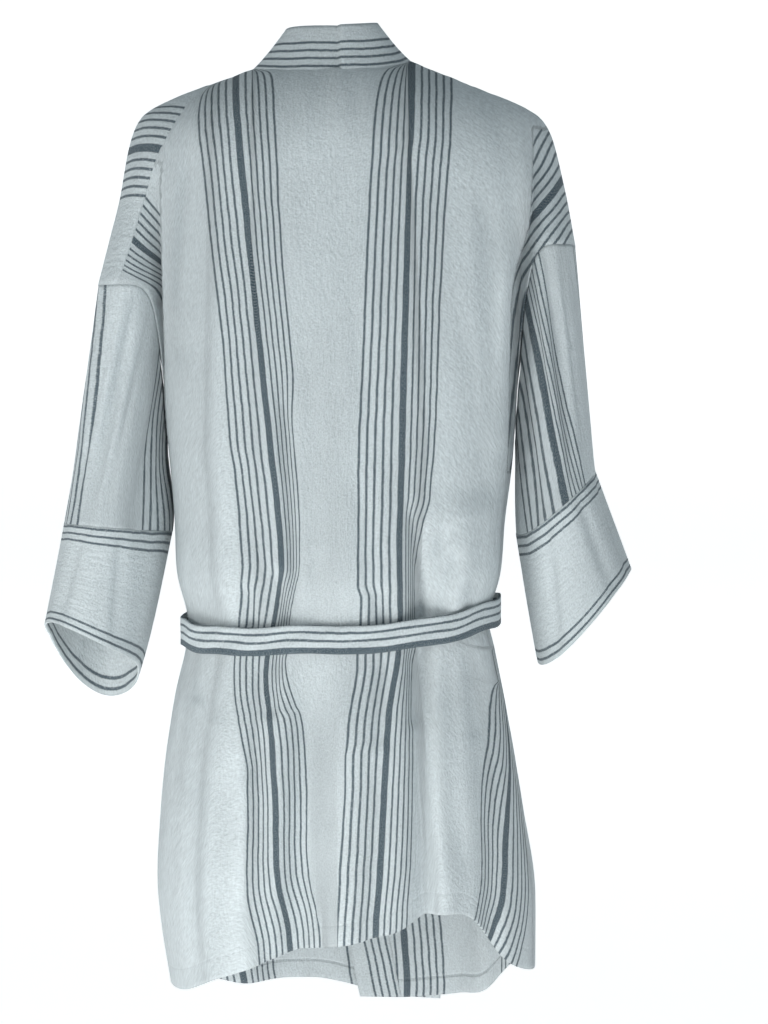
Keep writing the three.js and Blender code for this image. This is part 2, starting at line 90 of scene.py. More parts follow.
# Folds and creases: top and bottom height, x at each, width and depth; a depth below 0 is a ridge
BACK_FOLDS = [
    (-0.610, -1.010, 0.026, 0.048, 0.024, 0.026),
    (-0.616, -1.010, -0.012, -0.008, 0.034, -0.010),
    (-0.450, -0.980, -0.084, -0.092, 0.013, 0.020),
    (-0.500, -0.800, 0.146, 0.150, 0.020, 0.007),
    (-0.600, -1.010, -0.152, -0.163, 0.015, 0.020),
    (-0.050, -0.330, 0.150, 0.182, 0.014, 0.006),
    (-0.440, -0.590, -0.140, -0.135, 0.030, -0.010),
]
BACK_CREASES = [
    (-0.380, -0.590, 0.118, 0.060, 0.012, 0.0035),
    (-0.420, -0.585, -0.020, -0.040, 0.010, 0.0030),
    (-0.470, -0.592, -0.112, -0.098, 0.009, 0.0050),
    (-0.500, -0.592, 0.020, 0.034, 0.011, 0.0032),
    (-0.606, -0.760, 0.082, 0.092, 0.010, 0.0060),
    (-0.600, -1.030, 0.138, 0.150, 0.024, 0.0110),
    (-0.640, -1.030, -0.106, -0.118, 0.022, -0.0060),
    (-0.606, -0.720, -0.050, -0.044, 0.010, 0.0055),
    (-0.606, -0.860, -0.118, -0.124, 0.014, 0.0060),
    (-0.606, -0.700, 0.118, 0.130, 0.009, 0.0050),
    (-0.640, -0.930, 0.070, 0.098, 0.014, 0.0060),
    (-0.700, -0.980, -0.044, -0.034, 0.013, 0.0055),
    (-0.720, -1.000, 0.124, 0.152, 0.018, 0.0060),
    (-0.180, -0.420, 0.100, 0.142, 0.014, 0.0030),
    (-0.110, -0.400, -0.150, -0.172, 0.013, 0.0045),
    (-0.240, -0.470, -0.128, -0.160, 0.012, 0.0035),
    (-0.050, -0.340, 0.128, 0.166, 0.018, 0.0075),
    (-0.070, -0.260, 0.150, 0.172, 0.010, 0.0050),
    (-0.300, -0.598, 0.060, 0.042, 0.007, 0.0085),
    (-0.440, -0.598, -0.072, -0.088, 0.006, 0.0080),
    (-0.500, -0.598, -0.128, -0.104, 0.009, 0.0070),
    (-0.530, -0.598, -0.146, -0.130, 0.008, 0.0080),
    (-0.520, -0.598, 0.066, 0.050, 0.009, 0.0060),
    (-0.540, -0.598, 0.098, 0.088, 0.008, 0.0060),
    (-0.540, -0.598, -0.040, -0.050, 0.008, 0.0055),
    (-0.608, -0.690, 0.062, 0.072, 0.007, 0.0070),
    (-0.608, -0.680, 0.146, 0.152, 0.008, 0.0060),
    (-0.608, -0.700, -0.076, -0.080, 0.007, 0.0065),
    (-0.608, -0.720, -0.138, -0.146, 0.008, 0.0065),
    (-0.680, -0.990, 0.088, 0.074, 0.010, 0.0060),
    (-0.760, -1.010, -0.128, -0.138, 0.012, 0.0060),
    (-0.800, -1.010, 0.020, 0.004, 0.012, 0.0065),
    (-0.200, -0.560, -0.020, -0.034, 0.012, 0.0025),
    (-0.240, -0.580, 0.030, 0.024, 0.012, 0.0025),
]

# Where the back laps over itself beside each arm: x of its edge, drop behind it and cloth coordinate
BACK_LAPS = {
    "left": {"z": [-0.430, -0.345, -0.300, -0.233, -0.206, -0.187, -0.156, -0.125, -0.100],
             "x": [0.187, 0.187, 0.187, 0.187, 0.187, 0.187, 0.187, 0.187, 0.185],
             "drop": [0.000, 0.008, 0.014, 0.024, 0.024, 0.022, 0.014, 0.005, 0.000],
             "u": [0.345, 0.340, 0.335, 0.318, 0.281, 0.260, 0.235, 0.213, 0.200]},
    "right": {"z": [-0.430, -0.400, -0.295, -0.225, -0.170, -0.145, -0.105, -0.080, -0.060],
              "x": [0.180, 0.181, 0.182, 0.185, 0.200, 0.203, 0.205, 0.206, 0.206],
              "drop": [0.000, 0.008, 0.022, 0.028, 0.026, 0.020, 0.012, 0.004, 0.000],
              "u": [0.322, 0.318, 0.308, 0.300, 0.284, 0.269, 0.245, 0.235, 0.225]},
}
LAP_RIDGE, LAP_RIDGE_PLACE, LAP_RIDGE_WIDTH = 0.30, 0.007, 0.012
LAP_STEP, LAP_FADE, LAP_SCALE = 0.003, 0.030, 0.85


def mix(start, end, share):
    """Linear blend: start at share 0 and end at share 1."""
    return start + (end - start) * share


def along(table, key, column, at):
    """Cubic Hermite curve through a column, each knot's slope being the chord of its two neighbours."""
    keys = np.asarray(table[key], float)
    values = np.asarray(table[column], float)
    if keys[0] > keys[-1]:
        keys, values = keys[::-1], values[::-1]
    before = np.maximum(np.arange(len(keys)) - 1, 0)
    after = np.minimum(np.arange(len(keys)) + 1, len(keys) - 1)
    slopes = (values[after] - values[before]) / (keys[after] - keys[before])
    spot = np.clip(np.asarray(at, float), keys[0], keys[-1])
    row = np.clip(np.searchsorted(keys, spot, side="right") - 1, 0, len(keys) - 2)
    span = keys[row + 1] - keys[row]
    share = (spot - keys[row]) / span
    rest = 1 - share
    return (values[row] * (1 + 2 * share) * rest**2 + values[row + 1] * (1 + 2 * rest) * share**2
            + slopes[row] * span * share * rest**2 - slopes[row + 1] * span * share**2 * rest)


def fold_depth(folds, x, z):
    """Sum of deep * fade(z) * exp(-((x - line(z)) / width)^2) over the folds."""
    total = np.zeros(np.broadcast(x, z).shape)
    for top, bottom, top_x, bottom_x, width, deep in folds:
        share = (z - top) / (bottom - top)
        fade = np.clip(np.minimum(share * 4, (1 - share) * 6), 0, 1)
        fade = fade**2 * (3 - 2 * fade)
        total += deep * fade * np.exp(-(((x - mix(top_x, bottom_x, share)) / width) ** 2))
    return total


def ripple(x, z, seed, size):
    """Small wrinkles: a sum of ten sines of seeded direction and phase, stretched along z."""
    source = np.random.default_rng(seed)
    total = np.zeros(np.broadcast(x, z).shape)
    for _ in range(10):
        wide, high, phase = source.uniform(70, 210), source.uniform(-34, 34), source.uniform(0, 6.283)
        total += np.sin(wide * x + high * z + phase + 1.6 * np.sin(19 * z + phase))
    return size * total / 10


def half_width(side, x, z):
    """The half width of the side on which x lies; x below 0 is past the centre."""
    return np.where(x < 0, along(BODY, "z", OTHER[side], z), along(BODY, "z", side, z))


def ridge_height(side, x):
    """Height of the shoulder line over x, and a gentle rise towards the centre inside the neck."""
    first = SHOULDER[side]["x"][0]
    inside = SHOULDER[side]["z"][0] + NECK_RISE * (first - x)
    return np.where(x < first, inside, along(SHOULDER[side], "x", "z", x))


def ridge_point(side, share):
    """Point of the shoulder line, x and z, by its share of the way out."""
    x = along(SHOULDER[side], "part", "x", share)
    return x, ridge_height(side, x)


def lap_depth(side, x, z):
    """A lapped fold: a low round ridge on the body side of its edge, then a sudden drop that dies away."""
    lap = BACK_LAPS[side]
    past = x - along(lap, "z", "x", z)
    drop = along(lap, "z", "drop", z)
    ridge = -LAP_RIDGE * drop * np.exp(-(((past + LAP_RIDGE_PLACE) / LAP_RIDGE_WIDTH) ** 2))
    fall = drop * np.clip(past / LAP_STEP, 0, 1) * np.exp(-np.maximum(past, 0) / LAP_FADE)
    return ridge + np.where(past > 0, fall, 0)


def reach(side, face, x, z, creases=()):
    """Depth of the cloth: (torso^6 + arm^6)^(1/6) less its folds.

    torso = deep * roll * (1 - (x / half)^n)^(1/n), where roll is the quarter circle over the shoulder,
    arm = a half ellipse between the armhole and the outside of the upper arm."""
    half = half_width(side, x, z)
    deep = along(BODY, "z", "back" if face > 0 else "front", z)
    below = np.clip((ridge_height(side, np.abs(x)) - z) / SHOULDER_ROLL, 0, 1)
    roll = np.sqrt(1 - (1 - below) ** 2)
    across = np.clip(1 - (np.abs(x) / half) ** SQUARENESS, 0, 1)
    torso = deep * roll * across ** (1 / SQUARENESS)
    outer_x, outer_z = SEAM_RING[side]["outer"]
    lower = mix(outer_x, ARM_LOW_X, np.clip((outer_z - z) / ARM_WIDENING, 0, 1))
    outside = np.where(z > outer_z, along(SHOULDER[side], "z", "x", z), lower)
    inside = SEAM_RING[side]["inner"][0] - np.clip((z - ARMHOLE_Z) * ARMHOLE_SLOPE, 0, ARMHOLE_MOST)
    place = (2 * x - outside - inside) / (outside - inside)
    filled = np.sqrt(np.clip((ARM_TOP_Z - z) / ARM_HEIGHT, 0, 1))
    arm = ARM_DEEP * filled * np.sqrt(np.clip(1 - place**2, 0, 1))
    closing = np.sqrt(np.clip((ridge_height(side, np.abs(x)) - z) / RIDGE_CLOSING, 0, 1))
    both = (torso**6 + arm**6) ** (1 / 6) * closing
    folds = fold_depth(list(BACK_FOLDS if face > 0 else FRONT_FOLDS) + list(creases), SIGN[side] * x, z)
    if face > 0 and len(creases):
        folds = folds + lap_depth(side, x, z)
    return both - folds * np.clip(both / EDGE_FADE, 0, 1)


def seam_ring(side, share, face=-1):
    """Sleeve seam on one face, x and z by its share from the top of the arm to the underarm."""
    (outer_x, outer_z), (inner_x, inner_z) = SEAM_RING[side]["outer"], SEAM_RING[side]["inner"]
    across, down = SEAM_POWERS[side] if face > 0 else FRONT_SEAM_POWERS
    return mix(outer_x, inner_x, share**across), mix(outer_z, inner_z, share**down)


def patch(top, bottom, inner, outer, p, q):
    """Coons patch: the two ruled surfaces between opposite edges less the bilinear one of the corners."""
    out = []
    for axis in (0, 1):
        corners = mix(mix(top(0.0)[axis], top(1.0)[axis], p), mix(bottom(0.0)[axis], bottom(1.0)[axis], p), q)
        out.append(mix(top(p)[axis], bottom(p)[axis], q) + mix(inner(q)[axis], outer(q)[axis], p) - corners)
    return out


def section(half, deep, angle):
    """Superellipse: x = half * sin(angle)^(2/n) and y = deep * cos(angle)^(2/n), with signs kept."""
    power = 2 / SQUARENESS
    return (half * np.sign(np.sin(angle)) * np.abs(np.sin(angle)) ** power,
            deep * np.sign(np.cos(angle)) * np.abs(np.cos(angle)) ** power)


def angle_at(half, x):
    """Angle of the superellipse at x: the arcsine of (x / half)^(n/2), with the sign kept."""
    return np.arcsin(np.clip(np.sign(x) * (np.abs(x) / half) ** (SQUARENESS / 2), -1, 1))


def lower_point(side, face, angle, z, layer, creases):
    """Point of the body below the underarm: the section less its folds, plus the layer outwards."""
    deep = along(BODY, "z", "back" if face > 0 else "front", z)
    x, y = section(half_width(side, angle, z), deep, angle)
    folds = fold_depth(list(BACK_FOLDS if face > 0 else FRONT_FOLDS) + list(creases), SIGN[side] * x, z)
    fade = np.clip(np.abs(y) / EDGE_FADE, 0, 1)
    return np.stack([SIGN[side] * x, face * (y - folds * fade + layer * fade), z + 0 * x], -1)


def hemmed_point(side, face, angle, share, layer, creases):
    """Point of the body by its share of the height between the underarm and the hem at its own x."""
    low = half_width(side, angle, np.full(np.shape(angle), HEM_LEVEL))
    hem = along(HEM, "x", "back" if face > 0 else "front", SIGN[side] * section(low, 1, angle)[0])
    return lower_point(side, face, angle, mix(UNDERARM_Z, hem, share), layer, creases)


def back_points(side, p, q):
    """The back by its shares across (p, centre to side) and down (q, neck 0, underarm 1, hem 2)."""
    def seam(share):
        if side == "right":
            return ridge_point(side, share)
        return along(LEFT_SEAM, "part", "x", share), along(LEFT_SEAM, "part", "z", share)

    def top(share):
        share = np.asarray(share, float)
        start_x, start_z = seam(0.0)
        out = seam(np.clip((share - NECK_SHARE) / (1 - NECK_SHARE), 0, 1))
        turn = np.clip(share / NECK_SHARE, 0, 1)
        neck_x = start_x * np.sin(turn * np.pi / 2)
        return (np.where(share > NECK_SHARE, out[0], neck_x),
                np.where(share > NECK_SHARE, out[1], mix(NECK_CENTRE_Z, start_z, turn**2)))

    def bottom(share):
        half = along(BODY, "z", side, UNDERARM_Z)
        return section(half, 1, np.asarray(share) * np.pi / 2)[0], UNDERARM_Z + 0 * np.asarray(share)

    def inner(share):
        return 0 * np.asarray(share), mix(NECK_CENTRE_Z, UNDERARM_Z, np.asarray(share))

    def outer(share):
        return seam_ring(side, mix(OVER_SHARE if side == "left" else 0.0, 1.0, np.asarray(share)), 1)

    upper_q = np.clip(q, 0, 1)
    x, z = patch(top, bottom, inner, outer, p, upper_q)
    y = reach(side, 1, x, z, BACK_CREASES)
    upper = np.stack([SIGN[side] * x, y, z], -1)
    lower = hemmed_point(side, 1, p * np.pi / 2, np.clip(q - 1, 0, 1), 0, BACK_CREASES)
    return np.where((q > 1)[..., None], lower, upper)


def normals(points, around=False):
    """Unit normals of a grid of points: the cross product of its two central differences."""
    if around:
        ring = np.concatenate([points[:, -1:], points, points[:, :1]], 1)
        across = (ring[:, 2:] - ring[:, :-2])
    else:
        across = np.gradient(points, axis=1)
    down = np.gradient(points, axis=0)
    cross = np.cross(across, down)
    return cross / np.maximum(np.linalg.norm(cross, axis=-1, keepdims=True), 1e-12)


NO_HEM = 1.0
WELD_DISTANCE = 0.00005


def cloth(name, points, uv, thick=0.0017, around=False, hem=None):
    """A grid of points as a smooth shell; uv holds cloth metres, u across the stripes and v along them.

    hem is the cloth's distance from its turned edge, which the sewing follows."""
    rows, columns = points.shape[:2]
    if around:
        points = np.concatenate([points, points[:, :1]], 1)
        columns += 1
    ids = np.arange(rows * columns).reshape(rows, columns)
    quads = np.stack([ids[:-1, :-1], ids[:-1, 1:], ids[1:, 1:], ids[1:, :-1]], -1).reshape(-1, 4)
    mesh = bpy.data.meshes.new(name)
    mesh.from_pydata(points.reshape(-1, 3).tolist(), [], quads.tolist())
    layer = mesh.uv_layers.new(name="cloth")
    layer.data.foreach_set("uv", uv.reshape(-1, 2)[quads.reshape(-1)].astype(np.float32).reshape(-1))
    mesh.polygons.foreach_set("use_smooth", np.ones(len(quads), bool))
    edge = mesh.attributes.new("hem", "FLOAT", "POINT")
    distances = np.full(ids.size, NO_HEM) if hem is None else hem.ravel()
    edge.data.foreach_set("value", distances.astype(np.float32))
    mesh.update()
    piece = bpy.data.objects.new(name, mesh)
    bpy.context.scene.collection.objects.link(piece)
    if around:
        weld = piece.modifiers.new("weld", "WELD")
        weld.merge_threshold = WELD_DISTANCE
    shell = piece.modifiers.new("shell", "SOLIDIFY")
    shell.thickness = thick
    shell.offset = 0
    return piece


class Value:
    """A shader socket with arithmetic: each operator adds a math node to the tree."""

    def __init__(self, tree, socket):
        self.tree, self.socket = tree, socket

    def math(self, operation, *others):
        node = self.tree.nodes.new("ShaderNodeMath")
        node.operation = operation
        for index, other in enumerate((self, *others)):
            if isinstance(other, Value):
                self.tree.links.new(other.socket, node.inputs[index])
            else:
                node.inputs[index].default_value = other
        return Value(self.tree, node.outputs[0])

    def __add__(self, other):
        return self.math("ADD", other)

    def __sub__(self, other):
        return self.math("SUBTRACT", other)

    def __mul__(self, other):
        return self.math("MULTIPLY", other)

    def __truediv__(self, other):
        return self.math("DIVIDE", other)

    __radd__ = __add__
    __rmul__ = __mul__

    def __rsub__(self, other):
        return (self * -1.0) + other

    def step(self, low, high):
        """0 below low, 1 above high and a smooth ramp between them."""
        node = self.tree.nodes.new("ShaderNodeMapRange")
        node.interpolation_type = "SMOOTHSTEP"
        self.tree.links.new(self.socket, node.inputs["Value"])
        node.inputs["From Min"].default_value = low
        node.inputs["From Max"].default_value = high
        return Value(self.tree, node.outputs["Result"])


def noise(tree, vector, scale, detail=2.0):
    """Value of a noise texture node."""
    node = tree.nodes.new("ShaderNodeTexNoise")
    tree.links.new(vector, node.inputs["Vector"])
    node.inputs["Scale"].default_value = scale
    node.inputs["Detail"].default_value = detail
    return Value(tree, node.outputs["Fac"])


def scaled(tree, vector, across, lengthwise):
    """Cloth coordinates times a scale across the stripes and one along them."""
    node = tree.nodes.new("ShaderNodeMapping")
    tree.links.new(vector, node.inputs["Vector"])
    node.inputs["Scale"].default_value = (across, lengthwise, 1)
    return node.outputs["Vector"]


# The woven repeat: five thin stripes, a wide one and five thin ones, every 187 mm
REPEAT = 0.187
THIN_FIRST, THIN_STEP, THIN_COUNT, THIN_LAST = 0.0115, 0.0085, 5, 0.0455
THIN_HALF, WIDE_HALF, GROUP_BLUR = 0.00138, 0.0042, 0.0004
HEM_DEPTH = 0.022
# Waves of the yarns and stitches in radians a metre, and where most pieces' cloth coordinates start
TOOTH, YARN, STITCH = 3300.0, 5200.0, 2400.0
CLOTH_START = 4.5 * REPEAT


def striped_cotton(name, sewing=0.45, pale=(0.610, 0.668, 0.688), dark=(0.022, 0.052, 0.074), crinkle=1.0):
    """Crinkled cotton; a stripe lies where |u mod repeat - half a repeat| falls on a thin or the wide one."""
    material = bpy.data.materials.new(name)
    material.use_nodes = True
    tree = material.node_tree
    shader = tree.nodes["Principled BSDF"]
    uv = tree.nodes.new("ShaderNodeUVMap")
    uv.uv_map = "cloth"
    place = uv.outputs["UV"]
    split = tree.nodes.new("ShaderNodeSeparateXYZ")
    tree.links.new(place, split.inputs[0])
    across = Value(tree, split.outputs["X"])
    lengthwise = Value(tree, split.outputs["Y"])

    teeth = (lengthwise * TOOTH + across * 2200.0).math("SINE") * 0.00022
    ragged = (noise(tree, scaled(tree, place, 120, 620), 1.0, 3) - 0.5) * 0.0014 + teeth
    wander = (noise(tree, scaled(tree, place, 8, 30), 1.0, 2) - 0.5) * 0.0024
    shifted = across + ragged + wander
    offset = (shifted / REPEAT).math("FRACT") * REPEAT - REPEAT / 2
    away = offset.math("ABSOLUTE")
    thin_place = (away - THIN_FIRST + THIN_STEP / 2) / THIN_STEP
    thin_away = (thin_place.math("FRACT") - 0.5).math("ABSOLUTE") * THIN_STEP
    thin = 1 - thin_away.step(THIN_HALF * 0.62, THIN_HALF * 1.35)
    group_start = THIN_FIRST - THIN_STEP / 2
    group_end = THIN_FIRST + (THIN_COUNT - 0.5) * THIN_STEP
    inside = away.step(group_start, group_start + GROUP_BLUR)
    inside = inside * (1 - away.step(group_end - GROUP_BLUR, group_end))
    dashes = ((lengthwise * TOOTH).math("SINE") * 0.5 + 0.5) * 0.22 + 0.78
    broken = noise(tree, scaled(tree, place, 500, 260), 1.0, 2).step(0.26, 0.50) * 0.30 + 0.70
    thin = thin * inside * dashes * broken
    wide = 1 - away.step(WIDE_HALF * 0.86, WIDE_HALF * 1.1)
    twill = (lengthwise * 2600.0 + across * 4200.0).math("SINE") * 0.12
    heather = noise(tree, scaled(tree, place, 1000, 1000), 1.0, 1).step(0.34, 0.60) * 0.28 + 0.70 + twill
    stripe = (thin * 0.97).math("MAXIMUM", wide * heather)

    nubs = noise(tree, scaled(tree, place, 420, 520), 1.0, 3)
    slubs = noise(tree, scaled(tree, place, 900, 70), 1.0, 2)
    clouds = noise(tree, scaled(tree, place, 14, 9), 1.0, 3)
    shade = (nubs - 0.5) * 0.62 + (slubs - 0.5) * 0.30 + (clouds - 0.5) * 0.22 + 1.0
    turned = tree.nodes.new("ShaderNodeAttribute")
    turned.attribute_name = "hem"
    from_line = (Value(tree, turned.outputs["Fac"]) - HEM_DEPTH).math("ABSOLUTE")
    stitch_length = ((across + lengthwise) * STITCH).math("SINE").step(-0.5, 0.1)
    sewn = (1 - from_line.step(0.0003, 0.0010)) * stitch_length
    groove = 1 - from_line.step(0.0004, 0.0030)
    stripe = stripe.math("MAXIMUM", sewn * sewing)
    tint = tree.nodes.new("ShaderNodeMix")
    tint.data_type = "RGBA"
    tree.links.new(stripe.socket, tint.inputs["Factor"])
    tint.inputs["A"].default_value = (*pale, 1)
    tint.inputs["B"].default_value = (*dark, 1)
    lit = tree.nodes.new("ShaderNodeMix")
    lit.data_type = "RGBA"
    lit.blend_type = "MULTIPLY"
    lit.inputs["Factor"].default_value = 1
    grey = tree.nodes.new("ShaderNodeCombineColor")
    for channel in ("Red", "Green", "Blue"):
        tree.links.new(shade.socket, grey.inputs[channel])
    tree.links.new(tint.outputs["Result"], lit.inputs["A"])
    tree.links.new(grey.outputs["Color"], lit.inputs["B"])
    tree.links.new(lit.outputs["Result"], shader.inputs["Base Color"])
    shader.inputs["Roughness"].default_value = 0.92
    shader.inputs["Specular IOR Level"].default_value = 0.18
    shader.inputs["Sheen Weight"].default_value = 0.12
    shader.inputs["Sheen Roughness"].default_value = 0.6

    weave = ((across * YARN).math("SINE") * (lengthwise * YARN).math("SINE")) * 0.16
    crimp = noise(tree, scaled(tree, place, 210, 34), 1.0, 3) * 1.2 * crinkle
    pucker = noise(tree, scaled(tree, place, 240, 170), 1.0, 2) * 1.5 * crinkle
    coarse = noise(tree, scaled(tree, place, 70, 16), 1.0, 2) * 1.6 * crinkle
    height = weave + crimp + pucker + coarse + nubs * 0.7 - groove * (3.0 * sewing)
    bump = tree.nodes.new("ShaderNodeBump")
    bump.inputs["Strength"].default_value = 0.85
    bump.inputs["Distance"].default_value = 0.0016
    tree.links.new(height.socket, bump.inputs["Height"])
    tree.links.new(bump.outputs["Normal"], shader.inputs["Normal"])
    return material


def arcs(points):
    """Length along each row of a grid, from its first column."""
    steps = np.linalg.norm(np.diff(points, axis=1), axis=-1)
    return np.concatenate([np.zeros((len(points), 1)), np.cumsum(steps, 1)], 1)


def downs(points):
    """Length down each column of a grid, from its first row."""
    steps = np.linalg.norm(np.diff(points, axis=0), axis=-1)
    return np.concatenate([np.zeros((1, points.shape[1])), np.cumsum(steps, 0)], 0)


def to_hem(points):
    """Length down each column of a grid that is left to its last row."""
    lengths = downs(points)
    return lengths[-1:] - lengths


def sheet_area(points):
    """Area of a grid: half the cross products of its quads' diagonals."""
    one = points[1:, 1:] - points[:-1, :-1]
    two = points[1:, :-1] - points[:-1, 1:]
    return float(np.linalg.norm(np.cross(one, two), axis=-1).sum() / 2)


# The back's cloth by height: x of its wide stripes, coordinate at its sides, and how far the left group
# reaches outwards (half) and inwards (inner) and the right group outwards (outer)
BACK_STRIPES = {
    "z":     [-1.000, -0.902, -0.843, -0.751, -0.690, -0.628, -0.560, -0.513, -0.346, -0.200, -0.002],
    "left":  [0.050, 0.053, 0.064, 0.067, 0.071, 0.076, 0.064, 0.058, 0.076, 0.092, 0.110],
    "right": [-0.036, -0.041, -0.045, -0.050, -0.054, -0.064, -0.066, -0.065, -0.069, -0.073, -0.078],
    "rim":   [0.232, 0.232, 0.232, 0.230, 0.228, 0.225, 0.225, 0.225, 0.228, 0.232, 0.232],
    "half":  [0.042, 0.040, 0.038, 0.036, 0.036, 0.040, 0.048, 0.048, 0.048, 0.050, 0.050],
    "inner": [0.046, 0.044, 0.042, 0.042, 0.040, 0.026, 0.017, 0.024, 0.035, 0.040, 0.050],
    "outer": [0.040, 0.038, 0.040, 0.038, 0.036, 0.030, 0.027, 0.030, 0.040, 0.045, 0.050],
}
SKIRT_STRIPE = {"z": [-1.000, -0.945, -0.900, -0.860, -0.790, -0.700, -0.600],
                "x": [0.152, 0.156, 0.166, 0.175, 0.179, 0.184, 0.172]}
GROUP_HALF, SKIRT_GROUP = 0.050, 0.036
BELT_LEVEL = -0.600
PANEL_HALF = 0.325

back_rows = np.concatenate([np.linspace(0, 1, 92) ** 1.5, np.linspace(1, 2, 150)[1:]])
back_across = np.concatenate([np.linspace(1, 0, 81), np.linspace(0, 1, 81)[1:]])
grid_p, grid_q = np.meshgrid(back_across, back_rows)
back_grid = np.concatenate([back_points("left", grid_p[:, :80], grid_q[:, :80]),
                            back_points("right", grid_p[:, 80:], grid_q[:, 80:])], 1)
back_grid += normals(back_grid) * ripple(back_grid[..., 0], back_grid[..., 2], 3, 0.0011)[..., None]
back_arc = arcs(back_grid)


def back_across_cloth(points, arc):
    """Cloth coordinate across the stripes: piecewise linear along each row, and by x past the laps."""
    out = np.empty_like(arc)
    for row, (line, lengths) in enumerate(zip(points, arc)):
        z = line[len(line) // 2, 2]
        left, right, rim, half, inner, outer = (
            float(along(BACK_STRIPES, "z", column, z))
            for column in list(BACK_STRIPES)[1:])
        at_left, at_right = np.interp([-left, -right], -line[:, 0], lengths)
        places = [0, at_left - half, at_left, at_left + inner, at_right - GROUP_HALF, at_right,
                  at_right + outer, lengths[-1]]
        values = [rim, REPEAT / 2 + GROUP_HALF, REPEAT / 2, REPEAT / 2 - GROUP_HALF,
                  GROUP_HALF - REPEAT / 2, -REPEAT / 2, -REPEAT / 2 - GROUP_HALF, -rim]
        if z < BELT_LEVEL:
            at_wide = np.interp(float(along(SKIRT_STRIPE, "z", "x", z)), -line[:, 0], lengths)
            places[-1:] = [at_wide - SKIRT_GROUP, at_wide, lengths[-1]]
            values[-1:] = [-1.5 * REPEAT + THIN_LAST, -1.5 * REPEAT, -1.5 * REPEAT - lengths[-1] + at_wide]
        out[row] = np.interp(lengths, places, values)
    for side in ("left", "right"):
        lap = BACK_LAPS[side]
        x, z = SIGN[side] * points[..., 0], points[..., 2]
        past = x - along(lap, "z", "x", z)
        beyond = (along(lap, "z", "u", z) + LAP_SCALE * past) * SIGN[side]
        inside = (past > 0) & (z > lap["z"][0]) & (z < lap["z"][-1])
        out = np.where(inside, beyond, out)
    return out


back_uv = np.stack([back_across_cloth(back_grid, back_arc) + 4 * REPEAT, -downs(back_grid)], -1)
back = cloth("back_panel", back_grid, back_uv, hem=to_hem(back_grid))
back.data.materials.append(striped_cotton("back_cotton", sewing=0.12))
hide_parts("back")
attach(back, "root")
sheet_area(back_grid)


# Fronts
# Each front is a straight panel, cut slanting from the neck to the lap, with the left over the right.
# The left one reaches over the shoulder to its seam on the back, as the photograph shows.
FRONT_LAYER = {"left": 0.0026, "right": -0.0026}
FRONT_EDGE = {
    "z":     [-1.070, -0.850, -0.600, -0.400, -0.260, -0.120, 0.020],
    "left":  [-0.068, -0.062, -0.048, 0.006, 0.038, 0.066, 0.090],
    "right": [0.070, 0.024, -0.030, 0.006, 0.034, 0.058, 0.076],
}
FRONT_LOW_Z = -1.060
FRONT_FOLDS = [
    (-0.120, -0.560, 0.130, 0.110, 0.022, 0.008),
    (-0.130, -0.560, -0.128, -0.096, 0.020, 0.009),
    (-0.610, -1.110, 0.092, 0.118, 0.024, 0.020),
    (-0.610, -1.110, -0.146, -0.168, 0.018, 0.018),
    (-0.620, -1.110, 0.034, 0.030, 0.026, -0.008),
]
FRONT_CREASES = [
    (-0.430, -0.590, 0.090, 0.070, 0.010, 0.0040),
    (-0.460, -0.590, 0.140, 0.124, 0.010, 0.0045),
    (-0.440, -0.590, -0.120, -0.110, 0.010, 0.0045),
    (-0.606, -0.780, 0.060, 0.070, 0.010, 0.0055),
    (-0.606, -0.760, 0.128, 0.140, 0.010, 0.0055),
    (-0.606, -0.800, -0.120, -0.128, 0.012, 0.0050),
    (-0.180, -0.420, 0.156, 0.150, 0.012, 0.0050),
    (-0.180, -0.420, -0.160, -0.150, 0.012, 0.0050),
]


def front_points(side, p, q):
    """A front by its shares across (p, sewn edge to side) and down (q, below 0 over the shoulder)."""
    layer = FRONT_LAYER[side]
    start_x, start_z = SHOULDER[side]["x"][0], SHOULDER[side]["z"][0]
    half = along(BODY, "z", side, UNDERARM_Z)
    first = angle_at(half, along(FRONT_EDGE, "z", side, UNDERARM_Z))

    def top(share):
        return ridge_point(side, np.asarray(share, float))

    def bottom(share):
        share = np.asarray(share)
        return section(half, 1, mix(first, np.pi / 2, share))[0], UNDERARM_Z + 0 * share

    def inner(share):
        z = mix(start_z, UNDERARM_Z, np.asarray(share))
        return mix(start_x, along(FRONT_EDGE, "z", side, z), np.clip(np.asarray(share) * 6, 0, 1)), z

    def outer(share):
        return seam_ring(side, np.asarray(share))

    x, z = patch(top, bottom, inner, outer, p, np.clip(q, 0, 1))
    y = reach(side, -1, x, z, FRONT_CREASES)
    points = np.stack([SIGN[side] * x, -(y + layer * np.clip(y / EDGE_FADE, 0, 1)), z], -1)
    low_z = mix(UNDERARM_Z, FRONT_LOW_Z, np.clip(q - 1, 0, 1))
    edge = along(FRONT_EDGE, "z", side, low_z)
    start = angle_at(half_width(side, edge, low_z), edge)
    low = hemmed_point(side, -1, mix(start, np.pi / 2, p), np.clip(q - 1, 0, 1), layer, FRONT_CREASES)
    points = np.where((q > 1)[..., None], low, points)
    ridge_x, ridge_z = ridge_point(side, p)
    past = -np.clip(q, -1, 0)
    over_x = mix(ridge_x, along(LEFT_SEAM, "part", "x", p), past)
    over_z = mix(ridge_z, along(LEFT_SEAM, "part", "z", p), past)
    line = [mix(SEAM_RING["left"]["outer"][axis], LEFT_SEAM["xz"[axis]][-1], past) for axis in (0, 1)]
    ring = seam_ring("left", OVER_SHARE * past, 1)
    over_x = over_x + (ring[0] - line[0]) * p**6
    over_z = over_z + (ring[1] - line[1]) * p**6
    over = np.stack([SIGN[side] * over_x, reach(side, 1, over_x, over_z, BACK_CREASES), over_z], -1)
    return np.where((q < 0)[..., None], over, points)


